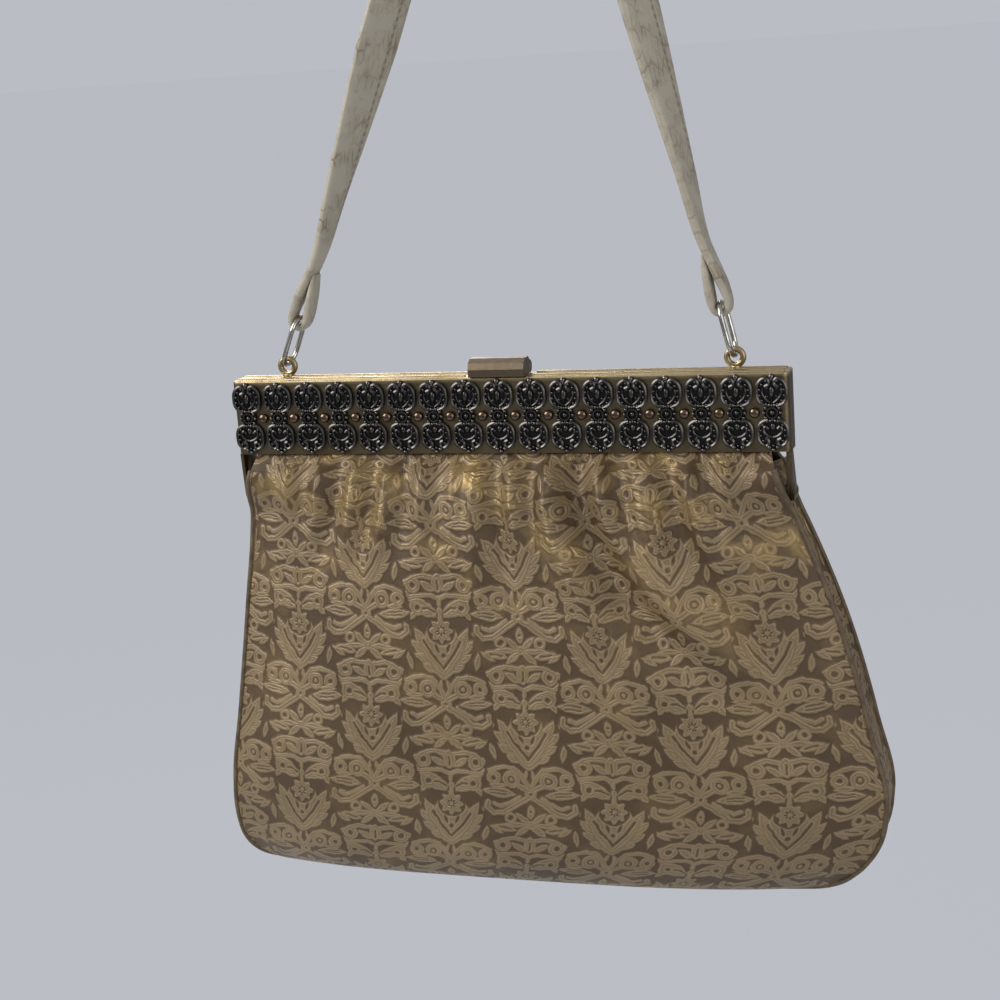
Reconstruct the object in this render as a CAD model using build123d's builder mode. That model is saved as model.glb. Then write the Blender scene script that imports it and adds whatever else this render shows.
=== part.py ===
from build123d import *

import os
from math import cos, hypot, pi, radians, sin, sqrt

os.makedirs("parts", exist_ok=True)

# Frame of reference: origin at the middle of the base, X along the brass frame, Y to the back, Z up.

# Brass frame, made of two folded halves that turn on rivets at the ends of their side arms
frame_width = 180.0
plate_height = 24.0
half_depth = 5.0
sheet = 1.0
seam_gap = 0.3
corner_round = 2.0
ridge_round = 0.6
arm_drop = 13.0
arm_clearance = 0.15
joggle_height = 6.0
eye_radius = 3.2
rivet_radius = 1.25
rivet_clearance = 0.06
rivet_head_radius = 2.4
rivet_head_height = 0.9
rivet_tail_radius = 2.0
rivet_tail_height = 0.6

# Filigree band of hourglass units on the front plate
unit_count = 17
lobe_sides = 10
lobe_overlap = 0.25
lobe_wall = 1.7
lobe_spread = 6.1
band_thickness = 0.9
seed_radius = 1.35
seed_sides = 6
seed_height = 1.3
stem_width = 0.9
rosette_radius = 2.3
rosette_sides = 8
rosette_height = 1.7
rosette_slope = 25.0
knob_radius = 0.95
knob_sides = 5
knob_height = 1.4
bead_radius = 1.6
bead_sides = 8
bead_height = 1.4
bead_slope = 30.0

# Clasp: a faceted bar that turns back on a pin over the rear half
clasp_length = 18.0
clasp_depth = 7.4
clasp_height = 5.4
clasp_overhang = 0.9
clasp_clearance = 0.2
clasp_pin_height = 2.2
clasp_pin_radius = 0.8
pin_clearance = 0.05
lug_width = 5.0
lug_foot = 2.4
lug_clearance = 0.15
tongue_width = 5.0
tongue_thickness = 1.0
tongue_drop = 1.6
tongue_clearance = 0.5

# Eyelets on the rear half and the wire links that hang in them
eyelet_spacing = 146.0
eyelet_hole_radius = 1.5
eyelet_wire = 1.9
eyelet_wire_sides = 8
collar_radius = 1.7
collar_height = 1.1
stem_radius = 1.2
stem_head_radius = 1.4
stem_head_height = 0.6
link_length = 18.0
link_width = 11.0
link_wire = 1.6
link_contact = 0.15

# Strap: two straight legs that lean towards a rounded top, with a fold round a link at each end
strap_thickness = 3.0
strap_end_width = 5.0
strap_mid_width = 15.5
strap_swell_height = 110.0
strap_lean_left = 22.4
strap_lean_right = 12.8
arch_radius = 30.0
fold_wall = 1.9
fold_clearance = 0.7
fold_gap_length = 9.0
fold_neck_length = 19.0

# Leather body and lining
body_height = 168.0
full_half_width = 110.5
full_half_depth = 24.0
leather = 1.4
lining_sheet = 0.8
body_gap = 0.3
tuck_height = 4.0
eye_gap = 0.8
seam_turn = 1.0
gather_count = 13
gather_radius = 10.0
gather_lift = 6.6
gather_lean = 9.0
gather_sway = 2.3  # radians from one gather to the next

overrun = 1.0

# Heights and middles that several pieces share
frame_top = body_height
plate_bottom = frame_top - plate_height
plate_middle = frame_top - plate_height / 2
hinge_z = plate_bottom - arm_drop
tray_depth = half_depth - seam_gap / 2
tray_middle = (half_depth + seam_gap / 2) / 2
frame_end = frame_width / 2
inner_arm_face = frame_end - sheet - arm_clearance
tongue_y = -tray_middle / 2
notch_width = tongue_width + 2 * tongue_clearance
eyelet_x = eyelet_spacing / 2
eyelet_y = tray_middle
ring_radius = eyelet_hole_radius + eyelet_wire / 2
ring_z = frame_top + collar_height + eyelet_hole_radius + eyelet_wire / 2
clasp_axis_z = frame_top + clasp_pin_height
clasp_front = -half_depth - clasp_overhang
clasp_back_radius = clasp_pin_height - clasp_clearance
clasp_axis_y = clasp_front + clasp_depth
lug_sweep = hypot(lug_foot / 2, clasp_pin_height)


# Front half: a tray open to the back and below, with a notch for the clasp's tongue
with BuildPart() as front_frame:
    with BuildSketch(Plane.XY.offset(plate_bottom)):
        with Locations((0, -tray_middle)):
            Rectangle(frame_width, tray_depth)
    extrude(amount=plate_height)
    fillet(front_frame.edges().filter_by(Axis.Z).group_by(Axis.Y)[0], corner_round)
    fillet(front_frame.edges().group_by(Axis.Z)[-1].group_by(Axis.Y)[0], ridge_round)
    with BuildSketch(Plane.XY.offset(plate_bottom)):
        with Locations((0, -tray_middle + sheet)):
            Rectangle(frame_width - 2 * sheet, tray_depth)
    extrude(amount=plate_height - sheet, mode=Mode.SUBTRACT)
    for side in (-1, 1):
        with BuildSketch(Plane.YZ.offset(side * frame_end)):
            with Locations((0, hinge_z)):
                Circle(eye_radius)
            with Locations((-tray_middle, plate_bottom - sheet / 2)):
                Rectangle(tray_depth - corner_round, sheet)
            make_hull()
            with Locations((0, hinge_z)):
                Circle(rivet_radius + rivet_clearance, mode=Mode.SUBTRACT)
        extrude(amount=-side * sheet)
    with BuildSketch(Plane.XY.offset(frame_top)):
        with Locations((0, -tray_middle + sheet)):
            Rectangle(notch_width, tray_depth)
    extrude(amount=-sheet, mode=Mode.SUBTRACT)
front_frame.part.label = "front_frame"
export_step(front_frame.part, "parts/front_frame.step")


# Rear half: the same tray turned round, with its arms set in by a joggle and holes for the eyelets
with BuildPart() as rear_frame:
    with BuildSketch(Plane.XY.offset(plate_bottom)):
        with Locations((0, tray_middle)):
            Rectangle(frame_width, tray_depth)
    extrude(amount=plate_height)
    fillet(rear_frame.edges().filter_by(Axis.Z).group_by(Axis.Y)[-1], corner_round)
    fillet(rear_frame.edges().group_by(Axis.Z)[-1].group_by(Axis.Y)[-1], ridge_round)
    with BuildSketch(Plane.XY.offset(plate_bottom)):
        with Locations((0, tray_middle - sheet)):
            Rectangle(frame_width - 2 * sheet, tray_depth)
    extrude(amount=plate_height - sheet, mode=Mode.SUBTRACT)
    for side in (-1, 1):
        with BuildSketch(Plane.YZ.offset(side * inner_arm_face)):
            with Locations((0, hinge_z)):
                Circle(eye_radius)
            with Locations((tray_middle - sheet / 2, plate_bottom + joggle_height - sheet / 2)):
                Rectangle(tray_depth - sheet, sheet)
            make_hull()
            with Locations((0, hinge_z)):
                Circle(rivet_radius, mode=Mode.SUBTRACT)
        extrude(amount=-side * sheet)
        with BuildSketch(Plane.YZ.offset(side * inner_arm_face)):
            with Locations((tray_middle, plate_bottom + joggle_height / 2)):
                Rectangle(tray_depth - 2 * sheet, joggle_height)
        extrude(amount=side * arm_clearance)
    with BuildSketch(Plane.XY.offset(frame_top)):
        with Locations((-eyelet_x, eyelet_y), (eyelet_x, eyelet_y)):
            Circle(stem_radius)
    extrude(amount=-sheet, mode=Mode.SUBTRACT)
rear_frame.part.label = "rear_frame"
export_step(rear_frame.part, "parts/rear_frame.step")


# Rivets: domed head outside the front arm, shank through both arms, peened tail inside the rear arm
for side, side_name in ((-1, "left"), (1, "right")):
    head_face = frame_end + arm_clearance / 2
    tail_face = inner_arm_face - sheet
    with BuildPart() as hinge_rivet:
        with BuildSketch(Plane.XY.offset(hinge_z)):
            with BuildLine():
                Polyline(
                    (side * (head_face + rivet_head_height), 0),
                    (side * (tail_face - rivet_tail_height), 0),
                    (side * (tail_face - rivet_tail_height), rivet_tail_radius),
                    (side * tail_face, rivet_tail_radius),
                    (side * tail_face, rivet_radius),
                    (side * head_face, rivet_radius),
                    (side * head_face, rivet_head_radius),
                )
                RadiusArc(
                    (side * head_face, rivet_head_radius),
                    (side * (head_face + rivet_head_height), 0),
                    side * (rivet_head_radius**2 + rivet_head_height**2) / (2 * rivet_head_height),
                )
            make_face()
        revolve(axis=Axis((0, 0, hinge_z), (1, 0, 0)))
    hinge_rivet.part.label = f"{side_name}_hinge_rivet"
    export_step(hinge_rivet.part, f"parts/{side_name}_hinge_rivet.step")


# Filigree band: rings in two rows that run into one another, with a seed in each and a rosette at each waist
band_plane = Plane(origin=(0, -half_depth, plate_middle), x_dir=(1, 0, 0), z_dir=(0, -1, 0))
unit_pitch = frame_width / unit_count
lobe_radius = (unit_pitch / 2 + lobe_overlap) / cos(pi / lobe_sides)
knob_z = lobe_spread + lobe_radius * cos(pi / lobe_sides) - knob_radius
with BuildPart() as filigree_band:
    with BuildSketch(band_plane):
        with GridLocations(unit_pitch, 2 * lobe_spread, unit_count, 2):
            RegularPolygon(lobe_radius, lobe_sides, rotation=180 / lobe_sides)
        with GridLocations(unit_pitch, 2 * lobe_spread, unit_count, 2):
            RegularPolygon(lobe_radius - lobe_wall, lobe_sides, mode=Mode.SUBTRACT)
    extrude(amount=band_thickness)
    with BuildSketch(band_plane):
        with GridLocations(unit_pitch, 2 * lobe_spread, unit_count, 2):
            RegularPolygon(seed_radius, seed_sides)
        with GridLocations(unit_pitch, 0, unit_count, 1):
            Rectangle(stem_width, 2 * lobe_spread)
    extrude(amount=seed_height)
    with BuildSketch(band_plane):
        with GridLocations(unit_pitch, 0, unit_count, 1):
            RegularPolygon(rosette_radius, rosette_sides)
    extrude(amount=rosette_height, taper=rosette_slope)
    with BuildSketch(band_plane):
        with GridLocations(unit_pitch, 2 * knob_z, unit_count, 2):
            RegularPolygon(knob_radius, knob_sides, rotation=90)
    extrude(amount=knob_height)
filigree_band.part.label = "filigree_band"
export_step(filigree_band.part, "parts/filigree_band.step")

with BuildPart() as filigree_beads:
    with BuildSketch(band_plane):
        with GridLocations(unit_pitch, 0, unit_count - 1, 1):
            RegularPolygon(bead_radius, bead_sides)
    extrude(amount=bead_height, taper=bead_slope)
filigree_beads.part.label = "filigree_beads"
export_step(filigree_beads.part, "parts/filigree_beads.step")


# Clasp lever: a faceted bar with a back that is round about the pin, and a tongue between the halves
clasp_base = frame_top + clasp_clearance
facet_depth_shares = (0.2, 0.62, 0.9, 1.0)
facet_height_shares = (1.0, 1.0, 0.78, 0.42)
with BuildPart() as clasp_lever:
    with BuildSketch(Plane.YZ):
        with BuildLine():
            back_arc = CenterArc((clasp_axis_y, clasp_axis_z), clasp_back_radius, -90, 180)
            Polyline(
                back_arc @ 1,
                *[
                    (clasp_axis_y - clasp_depth * depth_share, clasp_base + clasp_height * height_share)
                    for depth_share, height_share in zip(facet_depth_shares, facet_height_shares)
                ],
                (clasp_front, clasp_base),
                back_arc @ 0,
            )
        make_face()
    extrude(amount=clasp_length / 2, both=True)
    with BuildSketch(Plane.YZ):
        with Locations((clasp_axis_y - lug_sweep - lug_clearance, clasp_axis_z)):
            Rectangle(clasp_depth, 2 * clasp_height, align=(Align.MIN, Align.CENTER))
    extrude(amount=lug_width / 2 + lug_clearance, both=True, mode=Mode.SUBTRACT)
    with BuildSketch(Plane.YZ):
        with Locations((clasp_axis_y, clasp_axis_z)):
            Circle(clasp_pin_radius + pin_clearance)
    extrude(amount=clasp_length, both=True, mode=Mode.SUBTRACT)
    with BuildSketch(Plane.YZ):
        with Locations((tongue_y, clasp_base - tongue_drop / 2 + sheet / 2)):
            Rectangle(tongue_thickness, tongue_drop + sheet)
    extrude(amount=tongue_width / 2, both=True)
clasp_lever.part.label = "clasp_lever"
export_step(clasp_lever.part, "parts/clasp_lever.step")

with BuildPart() as clasp_lug:
    with BuildSketch(Plane.YZ):
        with Locations((clasp_axis_y, clasp_axis_z)):
            Circle(clasp_back_radius)
        with Locations((clasp_axis_y, (clasp_axis_z + frame_top) / 2)):
            Rectangle(lug_foot, clasp_pin_height)
        with Locations((clasp_axis_y, clasp_axis_z)):
            Circle(clasp_pin_radius, mode=Mode.SUBTRACT)
    extrude(amount=lug_width / 2, both=True)
clasp_lug.part.label = "clasp_lug"
export_step(clasp_lug.part, "parts/clasp_lug.step")

with BuildPart() as clasp_pin:
    with BuildSketch(Plane.YZ):
        with Locations((clasp_axis_y, clasp_axis_z)):
            Circle(clasp_pin_radius)
    extrude(amount=clasp_length / 2, both=True)
clasp_pin.part.label = "clasp_pin"
export_step(clasp_pin.part, "parts/clasp_pin.step")


# Eyelets: a ring of faceted wire on a collar, with a stem that is headed over inside the frame
for side, side_name in ((-1, "left"), (1, "right")):
    ring_axis = Axis((side * eyelet_x, 0, ring_z), (0, 1, 0))
    with BuildPart() as eyelet:
        with BuildSketch(Plane.YZ.offset(side * eyelet_x)):
            with Locations((eyelet_y, ring_z + ring_radius)):
                RegularPolygon(eyelet_wire / 2, eyelet_wire_sides)
        revolve(axis=ring_axis)
        with BuildSketch(Plane.XY.offset(frame_top)):
            with Locations((side * eyelet_x, eyelet_y)):
                Circle(collar_radius)
        extrude(amount=collar_height)
        with BuildSketch(Plane.XY.offset(frame_top)):
            with Locations((side * eyelet_x, eyelet_y)):
                Circle(stem_radius)
        extrude(amount=-sheet)
        with BuildSketch(Plane.XY.offset(frame_top - sheet)):
            with Locations((side * eyelet_x, eyelet_y)):
                Circle(stem_head_radius)
        extrude(amount=-stem_head_height)
    eyelet.part.label = f"{side_name}_eyelet"
    export_step(eyelet.part, f"parts/{side_name}_eyelet.step")


# Lines of the strap in the plane of the eyelets, from the link's wire in each eyelet to the rounded top
link_foot_z = ring_z + eyelet_hole_radius - link_wire / 2 - link_contact
link_end_radius = (link_width - link_wire) / 2
fold_sag = link_end_radius - sqrt(link_end_radius**2 - (strap_end_width / 2) ** 2)
fold_rise = link_length - link_wire - fold_sag
left_foot = Vector(-eyelet_x, link_foot_z)
right_foot = Vector(eyelet_x, link_foot_z)
left_up = Vector(sin(radians(strap_lean_left)), cos(radians(strap_lean_left)))
right_up = Vector(-sin(radians(strap_lean_right)), cos(radians(strap_lean_right)))
left_in = Vector(left_up.Y, -left_up.X)
right_in = Vector(-right_up.Y, right_up.X)
legs = (("left", left_foot, left_up, left_in), ("right", right_foot, right_up, right_in))

# The arch touches both legs, so its centre lies one arch radius inside each of their lines
left_reach = left_foot.dot(left_in) + arch_radius
right_reach = right_foot.dot(right_in) + arch_radius
lean_cross = left_in.X * right_in.Y - left_in.Y * right_in.X
arch_centre = Vector(
    (left_reach * right_in.Y - right_reach * left_in.Y) / lean_cross,
    (right_reach * left_in.X - left_reach * right_in.X) / lean_cross,
)


# Links: oval rings of wire that lean with the strap, through an eyelet below and a fold of the strap above
for side_name, foot, up, inward in legs:
    link_middle = foot + up * ((link_length - link_wire) / 2)
    link_plane = Plane(
        origin=(link_middle.X, eyelet_y, link_middle.Y),
        x_dir=(up.X, 0, up.Y),
        z_dir=(inward.X, 0, inward.Y),
    )
    with BuildPart() as link:
        with BuildSketch(link_plane):
            SlotOverall(link_length, link_width)
            SlotOverall(link_length - 2 * link_wire, link_width - 2 * link_wire, mode=Mode.SUBTRACT)
        extrude(amount=link_wire / 2, both=True)
        flat_faces = link.faces().filter_by(Axis(link_plane.origin, link_plane.z_dir))
        chamfer(flat_faces.edges(), link_wire * (1 - 1 / sqrt(2)))
    link.part.label = f"{side_name}_link"
    export_step(link.part, f"parts/{side_name}_link.step")


# Strap: its edge-on outline with the two folds, cut to a width that swells from the folds to the top
strap_plane = Plane(origin=(0, eyelet_y, 0), x_dir=(1, 0, 0), z_dir=(0, -1, 0))
fold_inner_radius = link_wire / 2 + fold_clearance
fold_outer_radius = fold_inner_radius + fold_wall
outer_arch = arch_radius + strap_thickness / 2
inner_arch = arch_radius - strap_thickness / 2
straight_up = Vector(0, 1)
strap_top = arch_centre.Y + outer_arch
fold_bottom = link_foot_z + fold_rise * left_up.Y - fold_outer_radius
swell_z = frame_top + strap_swell_height
with BuildPart() as strap:
    with BuildSketch(strap_plane):
        left_neck = left_foot + left_up * (fold_rise + fold_neck_length)
        right_neck = right_foot + right_up * (fold_rise + fold_neck_length)
        left_half = left_in * (strap_thickness / 2)
        right_half = right_in * (strap_thickness / 2)
        with BuildLine():
            Line(left_neck - left_half, arch_centre - left_in * outer_arch)
            ThreePointArc(
                arch_centre - left_in * outer_arch,
                arch_centre + straight_up * outer_arch,
                arch_centre - right_in * outer_arch,
            )
            Line(arch_centre - right_in * outer_arch, right_neck - right_half)
            Line(right_neck - right_half, right_neck + right_half)
            Line(right_neck + right_half, arch_centre - right_in * inner_arch)
            ThreePointArc(
                arch_centre - right_in * inner_arch,
                arch_centre + straight_up * inner_arch,
                arch_centre - left_in * inner_arch,
            )
            Line(arch_centre - left_in * inner_arch, left_neck + left_half)
            Line(left_neck + left_half, left_neck - left_half)
        make_face()
        for _, foot, up, inward in legs:
            fold = foot + up * fold_rise
            neck = fold + up * fold_neck_length
            neck_half = inward * (strap_thickness / 2)
            with Locations(fold):
                Circle(fold_outer_radius)
            with BuildLine():
                Polyline(
                    fold - inward * fold_outer_radius,
                    neck - neck_half,
                    neck + neck_half,
                    fold + inward * fold_outer_radius,
                    close=True,
                )
            make_face()
            with Locations(fold):
                Circle(fold_inner_radius, mode=Mode.SUBTRACT)
            with BuildLine():
                Polyline(
                    fold - inward * fold_inner_radius,
                    fold + up * fold_gap_length,
                    fold + inward * fold_inner_radius,
                    close=True,
                )
            make_face(mode=Mode.SUBTRACT)
    extrude(amount=strap_mid_width / 2, both=True)
    with BuildSketch(Plane.YZ):
        with BuildLine():
            Polyline(
                (eyelet_y - strap_end_width / 2, fold_bottom - overrun),
                (eyelet_y - strap_end_width / 2, link_foot_z + fold_rise),
                (eyelet_y - strap_mid_width / 2, swell_z),
                (eyelet_y - strap_mid_width / 2, strap_top + overrun),
                (eyelet_y + strap_mid_width / 2, strap_top + overrun),
                (eyelet_y + strap_mid_width / 2, swell_z),
                (eyelet_y + strap_end_width / 2, link_foot_z + fold_rise),
                (eyelet_y + strap_end_width / 2, fold_bottom - overrun),
                close=True,
            )
        make_face()
    extrude(amount=frame_width, both=True, mode=Mode.INTERSECT)
strap.part.label = "strap"
export_step(strap.part, "parts/strap.step")


# Leather body: where its side profile and its front outline overlap, open at the mouth
mouth_half_width = inner_arm_face - sheet - rivet_tail_height - body_gap
mouth_half_depth = half_depth - sheet - body_gap
tuck_top = plate_bottom + tuck_height
skirt_z = hinge_z - eye_radius - eye_gap
flare = full_half_width - mouth_half_width

# Three arcs of the side profile, each by its middle and end, as shares of the depth and the skirt's height
profile_depth_shares = (0.42, 0.60, 0.90, 1.0, 0.82, 0.30)
profile_height_shares = (1.09, 1.0, 0.65, 0.30, 0.136, 0.0)

# Three arcs of the front outline below the skirt, as shares of the flare and the skirt's height
outline_flare_shares = (0.58, 0.88, 1.0, 0.90, 0.58, 0.0)
outline_height_shares = (0.73, 0.45, 0.26, 0.12, 0.03, 0.0)


def arc_points(start, sizes, heights):
    """Start, middle and end of each arc in a row of arcs that follow one another."""
    points = [start, *zip(sizes, heights)]
    return [points[number : number + 3] for number in range(0, len(points) - 1, 2)]


profile_arcs = arc_points(
    (mouth_half_depth, plate_bottom),
    [full_half_depth * depth_share for depth_share in profile_depth_shares],
    [skirt_z * height_share for height_share in profile_height_shares],
)
outline_arcs = arc_points(
    (mouth_half_width, skirt_z),
    [mouth_half_width + flare * flare_share for flare_share in outline_flare_shares],
    [skirt_z * height_share for height_share in outline_height_shares],
)


def pouch(inset):
    """The closed body, set in from the outside by a wall."""
    with BuildPart() as body:
        for plane, arcs in ((Plane.YZ, profile_arcs), (Plane.XZ, outline_arcs)):
            with BuildSketch(plane):
                with BuildLine():
                    for arc in arcs:
                        ThreePointArc(*arc)
                    Line((arcs[0][0][0], tuck_top), arcs[0][0])
                    Line((0, tuck_top), (arcs[0][0][0], tuck_top))
                    Line(arcs[-1][2], (0, 0))
                    Line((0, 0), (0, tuck_top))
                make_face()
                mirror(about=Plane.YZ)
                if inset:
                    offset(amount=-inset)
            extrude(amount=frame_width, both=True, mode=Mode.INTERSECT if body.part else Mode.ADD)
    return body.part


leather_outside = pouch(0)
leather_inside = pouch(leather)

# Gathers: tapering hollows that run down both faces from the frame, uneven in their places and leans
gather_step = 2 * mouth_half_width / gather_count
gather_top_y = profile_arcs[1][0][0] + gather_lift
waist_y, waist_z = profile_arcs[1][1]
gather_drop = plate_bottom - waist_z
with BuildPart() as leather_shell:
    add(leather_outside)
    for facing in (-1, 1):
        for number in range(gather_count):
            sway = sin(gather_sway * (number + 1))
            gather_line = Plane(
                origin=(
                    gather_step * (number - (gather_count - 1) / 2 + sway / 4),
                    facing * gather_top_y,
                    plate_bottom,
                ),
                x_dir=(1, 0, 0),
                z_dir=(gather_lean * sway, facing * (waist_y - gather_top_y), -gather_drop),
            )
            with Locations(gather_line):
                Cone(
                    gather_radius,
                    0,
                    hypot(gather_drop, waist_y - gather_top_y),
                    align=(Align.CENTER, Align.CENTER, Align.MIN),
                    mode=Mode.SUBTRACT,
                )
    add(leather_inside, mode=Mode.SUBTRACT)
    with BuildSketch(Plane.XY.offset(plate_bottom)):
        Rectangle(2 * (mouth_half_width - leather), 2 * (mouth_half_depth - leather))
    extrude(amount=tuck_height, mode=Mode.SUBTRACT)

# The seams lie in two planes that lean with the flare, just inside the side walls
seam_top_x = mouth_half_width - leather - seam_turn
seam_low_x = full_half_width - leather - seam_turn
seam_drop = skirt_z - outline_arcs[1][1][1]
seam_planes = [
    Plane(
        origin=(side * seam_top_x, 0, skirt_z),
        x_dir=(0, 1, 0),
        z_dir=(side * seam_drop, 0, seam_low_x - seam_top_x),
    )
    for side in (-1, 1)
]

for facing, panel_name in ((Keep.TOP, "front"), (Keep.BOTTOM, "back")):
    with BuildPart() as panel:
        add(leather_shell.part)
        split(bisect_by=Plane.XZ, keep=facing)
        for seam_plane in seam_planes:
            split(bisect_by=seam_plane, keep=Keep.BOTTOM)
    panel.part.label = f"{panel_name}_panel"
    export_step(panel.part, f"parts/{panel_name}_panel.step")

for seam_plane, side_name in zip(seam_planes, ("left", "right")):
    with BuildPart() as gusset:
        add(leather_shell.part)
        split(bisect_by=seam_plane, keep=Keep.TOP)
    gusset.part.label = f"{side_name}_gusset"
    export_step(gusset.part, f"parts/{side_name}_gusset.step")


# Lining: a pouch of cloth just inside the leather, open at the level of the hinge
lining_outside = pouch(leather + body_gap)
lining_inside = pouch(leather + body_gap + lining_sheet)
with BuildPart() as lining:
    add(lining_outside)
    add(lining_inside, mode=Mode.SUBTRACT)
    split(bisect_by=Plane.XY.offset(skirt_z), keep=Keep.BOTTOM)
lining.part.label = "lining"
export_step(lining.part, "parts/lining.step")
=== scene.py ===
# %% [markdown]
# # A leather evening bag on a brass frame
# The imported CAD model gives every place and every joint. This lesson dresses it: gathered leather with a
# pressed damask, a blackened filigree band, smooth wire links and a folded strap. Sizes are in millimetres
# until the last moment, because a maker of bags thinks in them, and Blender works in metres.

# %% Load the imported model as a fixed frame
from math import cos, hypot, pi, radians, sin

import bpy
import numpy as np
from mathutils import Matrix, Vector


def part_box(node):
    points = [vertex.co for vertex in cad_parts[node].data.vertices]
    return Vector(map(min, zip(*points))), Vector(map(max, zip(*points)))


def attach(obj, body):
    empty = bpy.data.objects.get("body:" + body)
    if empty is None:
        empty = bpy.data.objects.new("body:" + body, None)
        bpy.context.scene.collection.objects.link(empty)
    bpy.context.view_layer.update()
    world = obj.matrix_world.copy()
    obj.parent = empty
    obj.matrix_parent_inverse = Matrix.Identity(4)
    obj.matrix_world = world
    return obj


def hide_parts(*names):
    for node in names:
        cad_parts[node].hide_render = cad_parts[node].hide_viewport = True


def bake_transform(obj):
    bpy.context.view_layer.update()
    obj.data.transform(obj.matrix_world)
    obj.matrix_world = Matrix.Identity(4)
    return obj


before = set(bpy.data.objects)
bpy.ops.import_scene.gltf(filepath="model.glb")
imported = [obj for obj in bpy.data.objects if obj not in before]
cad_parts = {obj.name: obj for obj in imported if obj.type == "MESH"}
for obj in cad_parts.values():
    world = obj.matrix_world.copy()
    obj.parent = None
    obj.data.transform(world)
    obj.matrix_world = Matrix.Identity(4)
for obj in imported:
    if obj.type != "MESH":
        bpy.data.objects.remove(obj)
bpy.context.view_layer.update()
MM = 0.001

# %% [markdown]
# ## Camera, light and floor
# The photograph looks down on the bag from the right, with a lens a little longer than normal. The camera is
# turned by three angles and stands where the frame's corners fall on their pixels. The light is a wide soft
# lamp from the upper left, a weak one from the right, one from behind, and a pale even surround. The floor
# lies well below, because the bag hangs.

# %% Camera
camera_place = Vector((180.7, -553.9, 268.9)) * MM
yaw, pitch, roll = radians(18.4), radians(13.6), radians(-4.3)
ahead = Vector((-sin(yaw) * cos(pitch), cos(yaw) * cos(pitch), -sin(pitch)))
level_right = Vector((cos(yaw), sin(yaw), 0))
level_up = Vector((-sin(yaw) * sin(pitch), cos(yaw) * sin(pitch), cos(pitch)))
camera_right = cos(roll) * level_right + sin(roll) * level_up
camera_up = cos(roll) * level_up - sin(roll) * level_right
camera_data = bpy.data.cameras.new("photo_camera")
camera_data.lens = 68.4
camera_data.sensor_width = 36.0
camera_data.clip_start = 0.01
camera = bpy.data.objects.new("photo_camera", camera_data)
turned = Matrix((camera_right, camera_up, -ahead)).transposed().to_4x4()
camera.matrix_world = Matrix.Translation(camera_place) @ turned
bpy.context.scene.collection.objects.link(camera)
bpy.context.scene.camera = camera
bpy.context.scene.view_settings.view_transform = "Standard"
print("camera at", [round(c, 3) for c in camera_place])


# %% Shader values as Python expressions
class Value:
    """One socket of a material. Arithmetic on it adds Math nodes, and node() adds any other node."""

    def __init__(self, socket):
        self.socket = socket

    def node(self, kind, settings=(), inputs=(), output=0):
        tree = self.socket.id_data
        made = tree.nodes.new(kind)
        for key, setting in dict(settings).items():
            setattr(made, key, setting)
        for key, value in dict(inputs).items():
            if isinstance(value, Value):
                tree.links.new(value.socket, made.inputs[key])
            else:
                made.inputs[key].default_value = value
        return Value(made.outputs[output])

    def math(self, operation, *others, clamp=False):
        values = dict(enumerate((self, *others)))
        return self.node("ShaderNodeMath", {"operation": operation, "use_clamp": clamp}, values)

    def vector(self, operation, other, output=0):
        return self.node("ShaderNodeVectorMath", {"operation": operation}, {0: self, 1: other}, output)

    def axis(self, number):
        """One of the three numbers of a place."""
        return self.node("ShaderNodeSeparateXYZ", inputs={0: self}, output=number)

    def mix(self, low, high):
        """The colour low where this value is 0, and high where it is 1."""
        inputs = {0: self}
        for number, colour in ((6, low), (7, high)):
            inputs[number] = colour if isinstance(colour, Value) else (*colour, 1)
        return self.node("ShaderNodeMix", {"data_type": "RGBA"}, inputs, 2)

    def __add__(self, other):
        return self.math("ADD", other)

    def __sub__(self, other):
        return self.math("SUBTRACT", other)

    def __rsub__(self, other):
        return self.math("MULTIPLY", -1.0) + other

    def __mul__(self, other):
        return self.math("MULTIPLY", other)

    def __rmul__(self, other):
        return self.math("MULTIPLY", other)

    def __neg__(self):
        return self.math("MULTIPLY", -1.0)

    def __abs__(self):
        return self.math("ABSOLUTE")


def new_finish(name, coordinate="Object"):
    """A new material, its Principled shader and the coordinates that its pattern reads."""
    material = bpy.data.materials.new(name)
    material.use_nodes = True
    tree = material.node_tree
    coordinates = tree.nodes.new("ShaderNodeTexCoord")
    return material, tree.nodes["Principled BSDF"], Value(coordinates.outputs[coordinate])


def feed(shader, **values):
    """Sets or links sockets of the Principled shader, named with _ for a space."""
    for key, value in values.items():
        socket = shader.inputs[key.replace("_", " ")]
        if isinstance(value, Value):
            shader.id_data.links.new(value.socket, socket)
        else:
            socket.default_value = value


def noise(place, scale, detail=3.0, roughness=0.55):
    """Cloudy noise from 0 to 1, with scale in waves per metre, or per millimetre on a UV map."""
    inputs = {"Vector": place, "Scale": scale, "Detail": detail, "Roughness": roughness}
    return place.node("ShaderNodeTexNoise", inputs=inputs)


def contrast(value, low, high):
    """0 below low, 1 above high and straight between."""
    return ((value - low) * (1 / (high - low))).math("MAXIMUM", 0.0).math("MINIMUM", 1.0)


def bump(height, depth):
    """A normal from a height of 0 to 1 that stands depth metres high."""
    return height.node("ShaderNodeBump", inputs={"Height": height, "Distance": depth, "Strength": 1.0})


print("shader helpers ready")

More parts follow.
